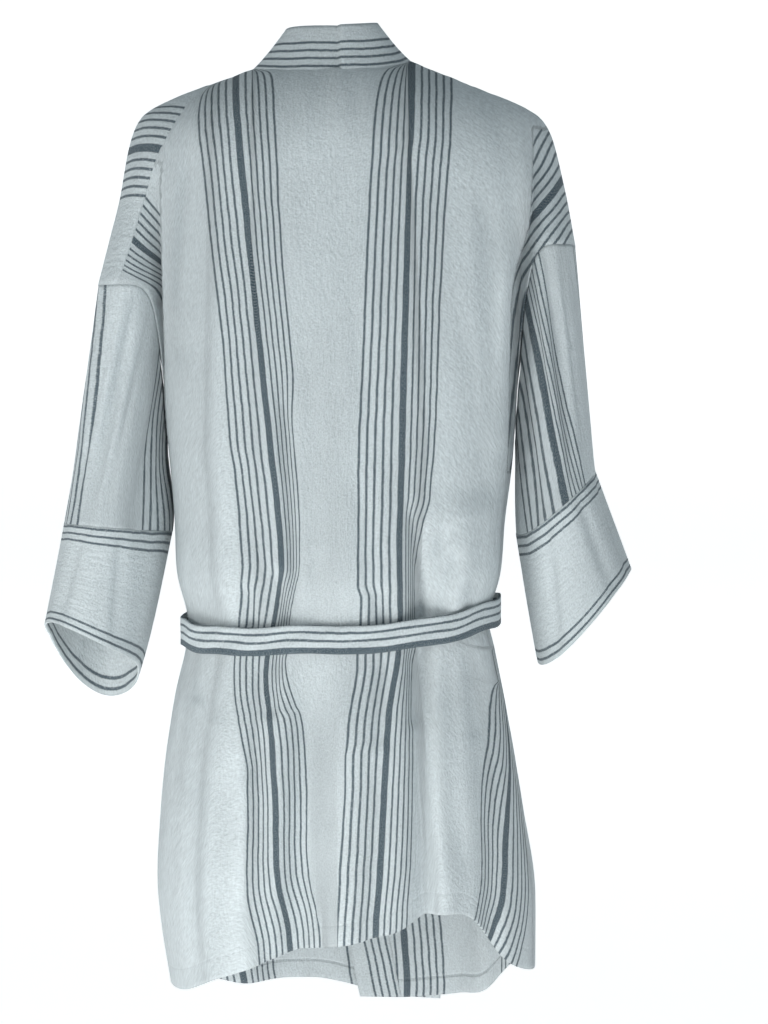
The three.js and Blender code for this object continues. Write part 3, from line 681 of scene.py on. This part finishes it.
FRONT_SHIFT = {"left": 0.020, "right": 0.115}
OVER_CLOTH, OVER_SCALE = 0.151, 0.87
for side in ("left", "right"):
    over = -np.linspace(1, 0, 26)[:-1] ** 2 if side == "left" else np.empty(0)
    front_rows = np.concatenate([over, np.linspace(0, 1, 80) ** 1.5, np.linspace(1, 2, 130)[1:]])
    grid_p, grid_q = np.meshgrid(np.linspace(0, 1, 66), front_rows)
    points = front_points(side, grid_p, grid_q)
    points += normals(points) * ripple(points[..., 0], points[..., 2], 7 + len(side), 0.0010)[..., None]
    arc = arcs(points)
    natural = PANEL_HALF + FRONT_SHIFT[side] - (arc[:, -1:] - arc)
    if side == "left":
        over_arc = REPEAT + (OVER_CLOTH - (arc[:, -1:] - arc)) * OVER_SCALE
        natural = mix(natural, over_arc, np.clip(1 - 3 * grid_q, 0, 1))
    uv = np.stack([natural + CLOTH_START, -downs(points)], -1)
    front = cloth(f"front_panel_{side}", points, uv, hem=to_hem(points))
    front.data.materials.append(striped_cotton(f"front_cotton_{side}"))
    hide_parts(f"front_{side}")
    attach(front, "root")
    sheet_area(points)


# Sleeves
# Each sleeve is a short straight tube with lengthwise stripes, sewn to the dropped armhole.
# It hangs flattened from the side, deeper from front to back than it is wide.
# Each ring: x and z at the top of the arm, x and z at the underarm, depth from front to back and its tilt
RINGS = {
    "left": {"cuff": (0.301, -0.488, 0.207, -0.496, 0.092, 0.016),
             "opening": (0.323, -0.612, 0.226, -0.646, 0.098, 0.068)},
    "right": {"cuff": (0.279, -0.430, 0.202, -0.500, 0.090, 0.010),
              "opening": (0.319, -0.541, 0.221, -0.646, 0.094, 0.020)},
}
ARM_BULGE = {"left": 0.020, "right": 0.006}
CUFF_DROP = {"left": 0.030, "right": 0.004}
UNDERARM_CLEAR = 0.0036
TURNS = np.linspace(0, 2 * np.pi, 121)[:-1]


def ring_points(side, name, turn):
    """Ring round the arm by its turn: 0 at its top, a quarter behind it, a half at the underarm."""
    share = (1 - np.cos(turn)) / 2
    face = np.where(np.sin(turn) >= 0, 1.0, -1.0)
    if name == "seam":
        x, z = np.where(face > 0, seam_ring(side, share, 1), seam_ring(side, share))
        y = np.where(face > 0, reach(side, 1, x, z, BACK_CREASES), -reach(side, -1, x, z, FRONT_CREASES))
        return np.stack([SIGN[side] * x, y, z], -1)
    outer_x, outer_z, inner_x, inner_z, depth, lower = RINGS[side][name]
    y = depth * face * np.abs(np.sin(turn)) ** 0.85
    z = mix(outer_z, inner_z, share) + lower * y / depth / 2
    return np.stack([SIGN[side] * mix(outer_x, inner_x, share), y, z], -1)


# Soft troughs of the sleeves: turn at the seam and at the cuff, width in turns, depth
SLEEVE_CREASES = [(1.15, 1.30, 0.16, 0.0060), (1.75, 1.60, 0.10, 0.0030), (0.62, 0.80, 0.12, 0.0030),
                  (2.45, 2.25, 0.14, 0.0045), (4.10, 4.30, 0.16, 0.0050), (5.20, 5.00, 0.12, 0.0035)]


def tube_points(side, start, end, shares, creases):
    """Ruled tube between two rings, pressed in by the creases where its ends hold it least."""
    turn, share = np.meshgrid(TURNS, shares)
    first = ring_points(side, start, TURNS)[None]
    last = ring_points(side, end, TURNS)[None]
    points = mix(first, last, share[..., None])
    inward = np.exp(-(((turn - 3.30) / 0.50) ** 2)) * ARM_BULGE[side]
    if end == "opening":
        points[..., 0] -= SIGN[side] * inward * (1 - share) ** 0.7
        points[..., 2] -= CUFF_DROP[side] * np.clip(-np.sin(turn), 0, 1) ** 1.4 * share**2
    else:
        points[..., 0] -= SIGN[side] * inward * np.sin(share * np.pi / 2) ** 1.5
    if start == "seam":
        inner = (1 - np.cos(turn)) / 2
        points[..., 0] += SIGN[side] * UNDERARM_CLEAR * inner**2 * (1 - share)
        points[..., 1] -= 0.007 * np.exp(-(((turn - 1.15) / 0.35) ** 2)) * np.sin(np.pi * share)
    out = normals(points, around=True)
    centre = points.mean(axis=1, keepdims=True)
    out *= np.sign((out * (points - centre)).sum(-1, keepdims=True))
    press = np.zeros(turn.shape)
    for at_start, at_end, width, deep in creases:
        press += deep * np.exp(-(((turn - mix(at_start, at_end, share)) / width) ** 2))
    press *= np.sin(np.pi * np.clip(share, 0, 1)) ** 0.7
    press += ripple(turn * 0.078, points[..., 2], len(side) + len(end), 0.0009)
    return points - out * press[..., None]


# Where cloth coordinates lie round each sleeve: the coordinate, and its turn at the seam and at the cuff
SLEEVE_STRIPES = {
    "left": {"cloth": [-0.0665, 0.0115, 0.0455, 0.1415, 0.1870, 0.2325],
             "seam": [-1.30, -0.35, 0.22, 2.20, 3.00, 3.80], "cuff": [-0.75, 0.25, 1.06, 2.55, 3.30, 4.00]},
    "right": {"cloth": [-0.1235, -0.0455, 0.0, 0.0455, 0.088],
              "seam": [0.37, 1.37, 1.95, 2.90, 3.60], "cuff": [-0.02, 0.976, 1.511, 2.690, 3.30]},
}
for side in ("left", "right"):
    points = tube_points(side, "seam", "cuff", np.linspace(0, 1, 70), SLEEVE_CREASES)
    closed = np.concatenate([points, points[:, :1]], 1)
    share = np.linspace(0, 1, len(points))
    stripes = {key: np.array(value) for key, value in SLEEVE_STRIPES[side].items()}
    around = np.append(TURNS, 2 * np.pi)
    across = np.empty(closed.shape[:2])
    for row, (part, arc) in enumerate(zip(share, arcs(closed))):
        turns = mix(stripes["seam"], stripes["cuff"], part)
        two_rounds = np.concatenate([around - 2 * np.pi, around])
        places = np.interp(turns, two_rounds, np.concatenate([arc - arc[-1], arc]))
        start = np.interp(0.0, places, stripes["cloth"]) - max(places[0], 0)
        kept = places > 0
        across[row] = np.interp(arc, [0.0, *places[kept], arc[-1]],
                                [start, *stripes["cloth"][kept], start + 2 * REPEAT])
    uv = np.stack([across + CLOTH_START, -downs(closed)], -1)
    sleeve = cloth(f"sleeve_tube_{side}", points, uv, around=True)
    sleeve.data.materials.append(striped_cotton(f"sleeve_cotton_{side}"))
    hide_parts(f"sleeve_{side}")
    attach(sleeve, "root")
    sheet_area(closed)


# Cuffs
# Each cuff is a wide band cut across the cloth, so its stripes run round the arm at its seam and its opening.
# It hangs from the end of the sleeve and stays open.
CUFF_CREASES = [(1.20, 1.05, 0.14, 0.0040), (2.10, 2.30, 0.12, 0.0045), (0.45, 0.55, 0.12, 0.0030),
                (4.20, 4.00, 0.15, 0.0045), (5.30, 5.45, 0.12, 0.0035)]
CUFF_STRIPE, CUFF_LENGTH, CUFF_SAG = 0.0255, 0.130, 0.004
for side in ("left", "right"):
    points = tube_points(side, "cuff", "opening", np.linspace(0, 1, 44), CUFF_CREASES)
    sag = np.sin(TURNS * 2 + 0.6)[None] * np.linspace(0, 1, len(points))[:, None] ** 2
    points[..., 2] += CUFF_SAG * sag
    closed = np.concatenate([points, points[:, :1]], 1)
    length = downs(closed)
    uv = np.stack([length / length[-1:] * CUFF_LENGTH + CUFF_STRIPE + CLOTH_START, arcs(closed)], -1)
    cuff = cloth(f"cuff_band_{side}", points, uv, around=True, thick=0.0022)
    cuff.data.materials.append(striped_cotton(f"cuff_cotton_{side}"))
    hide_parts(f"cuff_{side}")
    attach(cuff, "root")
    sheet_area(closed)


# Neckband
# One long straight strip, doubled, sewn up one front edge, round the neck and down the other front edge.
# Its lengthwise stripes lie next to the seam; it stands up behind the neck and lies flat on the fronts.
BAND_WIDTH = 0.048
BAND_TRIM = -0.0012
BAND_STAND = 0.054
BAND_LIFT = 0.170
BAND_LEAN, BAND_NAPE = (0.74, -0.1, 0.67), (-0.22, 0.98)
BAND_STRIPE = 0.0165
BAND_COLUMNS = 13


def band_edges():
    """Sewn edge and free edge of the band, from the left hem round the neck to the right hem."""
    sides = {}
    for side in ("left", "right"):
        layer = FRONT_LAYER[side]
        q = np.concatenate([np.linspace(2, 1, 120), np.linspace(1, 0, 90)[1:]])
        sewn = front_points(side, np.zeros_like(q), q)
        x, z = SIGN[side] * sewn[:, 0] - BAND_WIDTH, sewn[:, 2]
        low = lower_point(side, -1, angle_at(half_width(side, x, z), x), z, layer, FRONT_CREASES)
        high = np.stack([SIGN[side] * x, -reach(side, -1, x, z, FRONT_CREASES) - layer, z], -1)
        flat = np.where((q > 1)[:, None], low, high)
        lift = np.clip((z + BAND_LIFT) / BAND_LIFT, 0, 1)
        lift = (lift**2 * (3 - 2 * lift))[:, None]
        lean_x, lean_y, lean_z = BAND_LEAN
        stand = sewn + BAND_STAND * np.array([-SIGN[side] * lean_x, lean_y, lean_z])
        p = np.linspace(NECK_SHARE, 0, 30)
        neck = back_points(side, p, np.zeros_like(p))
        turn = p / NECK_SHARE
        lean = np.stack([-SIGN[side] * lean_x * turn, mix(BAND_NAPE[0], lean_y, turn**2),
                         mix(BAND_NAPE[1], lean_z, turn**2)], -1)
        lean *= mix(BAND_WIDTH, BAND_STAND, turn)[:, None] / np.linalg.norm(lean, axis=-1, keepdims=True)
        sides[side] = (np.concatenate([sewn[:-1], neck]),
                       np.concatenate([mix(flat, stand, lift)[:-1], neck + lean]))
    sewn = np.concatenate([sides["left"][0], sides["right"][0][:-1][::-1]])
    free = np.concatenate([sides["left"][1], sides["right"][1][:-1][::-1]])
    return sewn, free


band_sewn, band_free = band_edges()
band_share = np.linspace(BAND_TRIM / BAND_WIDTH, 1, BAND_COLUMNS)[None, :, None]
band_grid = mix(band_sewn[:, None], band_free[:, None], band_share)
band_grid += normals(band_grid) * ripple(band_grid[..., 2], band_grid[..., 0], 12, 0.0006)[..., None]
band_middle = band_grid[:, BAND_COLUMNS // 2]
band_length = np.cumsum(np.linalg.norm(np.diff(band_middle, axis=0, prepend=band_middle[:1]), axis=-1))
band_across = band_share[..., 0] * BAND_WIDTH + BAND_STRIPE + CLOTH_START
band_uv = np.stack([np.broadcast_to(band_across, band_grid.shape[:2]),
                    np.broadcast_to(band_length[:, None], band_grid.shape[:2])], -1)
band = cloth("neckband_strip", band_grid, band_uv, thick=0.0026)
band.data.materials.append(striped_cotton("band_cotton", crinkle=0.7))
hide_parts("neckband")
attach(band, "root")
sheet_area(band_grid)


# Belt
# A long flat strip of the striped cotton, doubled, wrapped once round the waist and tied at the front.
# A thin stripe follows its upper edge and the wide one its lower edge.
BELT_Z = {"left": -0.605, "right": -0.581, "back": -0.603}
BELT_WIDTH = 0.030
BELT_OUT = 0.0026 + 0.002 + 0.0029
BELT_STRIPE = 0.0026
BELT_EDGES = np.linspace(-1, 1, 11)


def belt_points(turn, edge):
    """Ring of the body's sections moved out; turn 0 is the centre of the back and edge runs from -1 to 1."""
    side_share = np.abs(np.sin(turn))
    out = np.zeros((*np.broadcast(turn, edge).shape, 3))
    for side in ("left", "right"):
        tilt = mix(BELT_Z["back"], BELT_Z[side], side_share)
        over = tilt + BELT_WIDTH / 2
        half = np.maximum(along(BODY, "z", side, tilt), along(BODY, "z", side, over))
        back_deep = np.maximum(along(BODY, "z", "back", tilt), along(BODY, "z", "back", over))
        front_deep = np.maximum(along(BODY, "z", "front", tilt), along(BODY, "z", "front", over))
        deep = np.where(np.cos(turn) >= 0, back_deep, front_deep)
        x, y = section(half + BELT_OUT, deep + BELT_OUT, np.arcsin(np.clip(side_share, 0, 1)))
        here = (np.sin(turn) >= 0) if side == "left" else (np.sin(turn) < 0)
        y = np.where(np.cos(turn) >= 0, y, -y)
        points = np.stack([SIGN[side] * x, y, tilt + edge * BELT_WIDTH / 2], -1)
        out = np.where(here[..., None], points, out)
    return out


belt_turn, belt_edge = np.meshgrid(np.linspace(0, 2 * np.pi, 241)[:-1], BELT_EDGES)
belt_grid = belt_points(belt_turn, belt_edge)
belt_grid[..., 2] += 0.0015 * np.sin(5 * belt_turn + 1.0) + 0.001 * np.sin(11 * belt_turn)
belt_grid[..., 1] += 0.0008 * np.sin(17 * belt_turn + 4 * belt_edge)
belt_closed = np.concatenate([belt_grid, belt_grid[:, :1]], 1)
belt_across = (BELT_EDGES[:, None] + 1) * BELT_WIDTH / 2 - BELT_STRIPE + CLOTH_START
belt_uv = np.stack([np.broadcast_to(belt_across, belt_closed.shape[:2]), arcs(belt_closed)], -1)
belt = cloth("belt_strip", belt_grid, belt_uv, thick=0.0026, around=True)
belt.data.materials.append(striped_cotton("belt_cotton", crinkle=0.5))
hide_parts("belt")
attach(belt, "root")
sheet_area(belt_closed)


# Belt knot and ends
# The belt is tied in one flat knot just left of the centre front, which the photograph doesn't show.
# Its two free ends hang from under the knot.
KNOT = {"x": 0.024, "width": 0.054, "height": 0.044, "depth": 0.026}
# Each end: x, drop below the knot's middle, spread, length, swing outwards and turn
TAIL_CLOTH = 0.33
TAILS = {
    "left": (0.034, 0.0206, 0.012, 0.330, 0.026, 0.16),
    "right": (0.015, 0.0218, -0.010, 0.296, -0.014, -0.2),
}


def knot_points(turn, rise):
    """Flattened ball with a band across it: waist narrows its height and flat cuts its back."""
    x, y, z = np.cos(rise) * np.cos(turn), np.cos(rise) * np.sin(turn), np.sin(rise)
    waist = 1 - 0.14 * np.exp(-(((x - 0.25) / 0.25) ** 2)) - 0.05 * np.exp(-(((x + 0.30) / 0.12) ** 2))
    flat = np.minimum(y, 0.6)
    grooves = 1 + 0.05 * np.sin(9 * x + 5 * z) * np.cos(rise)
    front = along(BODY, "z", "front", BELT_Z["back"] + BELT_WIDTH / 2) + BELT_OUT + 0.0013
    return np.stack([KNOT["x"] + x * KNOT["width"] / 2,
                     -front - (0.6 - flat) * KNOT["depth"] / 1.6 * grooves - 0.0002,
                     BELT_Z["back"] + z * waist * KNOT["height"] / 2], -1)


knot_turn, knot_rise = np.meshgrid(np.linspace(0, 2 * np.pi, 61)[:-1], np.linspace(-1.56, 1.56, 41))
knot_grid = knot_points(knot_turn, knot_rise)
knot_closed = np.concatenate([knot_grid, knot_grid[:, :1]], 1)
knot_uv = np.stack([knot_closed[..., 0] * 0.8 + 4.4 * REPEAT, knot_closed[..., 2] + 0.1], -1)
knot = cloth("belt_knot_wrap", knot_grid, knot_uv, thick=0.0010, around=True)
knot.data.materials.append(striped_cotton("knot_cotton", crinkle=0.6))
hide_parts("belt_knot")
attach(knot, "root")


def tail_points(side, share, edge):
    """Hanging end: it spreads from the pinch under the knot, swings out and turns on its way down."""
    x0, under, spread, length, swing, turning = TAILS[side]
    top = BELT_Z["back"] - under
    open_share = np.clip(share * 6, 0, 1)
    z = top - share * length
    x = x0 + spread * open_share + swing * share**2
    front = np.maximum(along(BODY, "z", "front", z), along(BODY, "z", "front", top))
    out = front + 0.019 + 0.003 * np.sin(9 * share)
    turn = turning * np.sin(5 * share)
    across = edge * mix(0.55, 1.0, open_share) * BELT_WIDTH / 2
    return np.stack([x + across * np.cos(turn), -out - across * np.sin(turn), z], -1)


for side in ("left", "right"):
    tail_edge, tail_share = np.meshgrid(BELT_EDGES, np.linspace(0, 1, 90))
    points = tail_points(side, tail_share, tail_edge)
    points[..., 1] += 0.0012 * np.sin(26 * tail_share + 2.2 * tail_edge)
    across = (tail_edge + 1) * BELT_WIDTH / 2 - BELT_STRIPE + CLOTH_START
    uv = np.stack([across, tail_share * TAIL_CLOTH], -1)
    tail = cloth(f"belt_tail_{side}", points, uv, thick=0.0024)
    tail.data.materials.append(striped_cotton(f"tail_cotton_{side}", crinkle=0.5))
    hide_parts(f"belt_end_{side}")
    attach(tail, "root")
    sheet_area(points)


# Studio
# A pale floor well below the robe, soft lights on the camera's side, and a camera tilted slightly down.
PIXEL = 0.0011
ORIGIN_PIXEL = (340, 80)
CAMERA_BACK, CAMERA_HEIGHT = 2.3, -0.300
SENSOR = 36
COVE_RADIUS, COVE_Y, COVE_Z = 1.2, -5.0, -0.25
FLOOR_HALF, FLOOR_FRONT, FLOOR_Z, WALL_TOP = 7, 7.0, -1.45, 4.0
scene = bpy.context.scene
scene.render.engine = "CYCLES"
scene.render.resolution_x, scene.render.resolution_y = 768, 1024
scene.view_settings.view_transform = "Standard"

# The floor turns up into a backdrop far behind the robe through a quarter circle
sweep = np.linspace(0, np.pi / 2, 17)
cove_y = np.concatenate([[FLOOR_FRONT], COVE_Y - COVE_RADIUS * np.sin(sweep), [COVE_Y - COVE_RADIUS]])
cove_z = np.concatenate([[FLOOR_Z], COVE_Z - COVE_RADIUS * np.cos(sweep), [WALL_TOP]])
cove = [(x, float(y), float(z)) for x in (-FLOOR_HALF, FLOOR_HALF) for y, z in zip(cove_y, cove_z)]
steps = len(cove_y)
floor_mesh = bpy.data.meshes.new("floor")
floor_mesh.from_pydata(cove, [], [(n, n + 1, n + 1 + steps, n + steps) for n in range(steps - 1)])
floor_mesh.polygons.foreach_set("use_smooth", np.ones(steps - 1, bool))
floor = bpy.data.objects.new("floor", floor_mesh)
scene.collection.objects.link(floor)
floor_paint = bpy.data.materials.new("floor_paint")
floor_paint.use_nodes = True
floor_shader = floor_paint.node_tree.nodes["Principled BSDF"]
floor_shader.inputs["Base Color"].default_value = (0.90, 0.90, 0.90, 1)
floor_shader.inputs["Emission Color"].default_value = (1, 1, 1, 1)
floor_shader.inputs["Emission Strength"].default_value = 0.55
floor_mesh.materials.append(floor_paint)

world = bpy.data.worlds.new("studio")
world.use_nodes = True
world.node_tree.nodes["Background"].inputs["Color"].default_value = (0.82, 0.94, 1.0, 1)
world.node_tree.nodes["Background"].inputs["Strength"].default_value = 0.34
scene.world = world


def area_light(name, place, aim, size, power, color):
    """Square area light at a place, turned to face another."""
    data = bpy.data.lights.new(name, "AREA")
    data.shape, data.size, data.energy, data.color = "SQUARE", size, power, color
    lamp = bpy.data.objects.new(name, data)
    lamp.location = place
    x, y, z = np.subtract(aim, place)
    lamp.rotation_euler = (math.atan2(math.hypot(x, y), -z), 0, math.atan2(y, x) - math.pi / 2)
    scene.collection.objects.link(lamp)


area_light("window", (1.7, 1.5, -0.5), (0, 0, -0.7), 0.9, 17, (1.0, 0.99, 0.97))
area_light("fill", (-1.6, 2.2, -0.9), (0, 0, -0.9), 1.4, 11, (0.96, 0.98, 1.0))
area_light("low", (0.10, 1.00, -1.10), (-0.02, 0.10, -0.80), 0.5, 4, (1.0, 0.99, 0.97))

camera_data = bpy.data.cameras.new("camera")
camera_data.sensor_width = SENSOR
camera_data.lens = SENSOR * CAMERA_BACK / (scene.render.resolution_y * PIXEL)
camera = bpy.data.objects.new("camera", camera_data)
middle_x = -(scene.render.resolution_x / 2 - ORIGIN_PIXEL[0]) * PIXEL
middle_z = (ORIGIN_PIXEL[1] - scene.render.resolution_y / 2) * PIXEL
tilt = math.atan2(CAMERA_HEIGHT - middle_z, CAMERA_BACK)
camera.location = (middle_x, CAMERA_BACK, CAMERA_HEIGHT)
camera.rotation_euler = (math.pi / 2 - tilt, 0, math.pi)
scene.collection.objects.link(camera)
bpy.context.scene.camera = camera
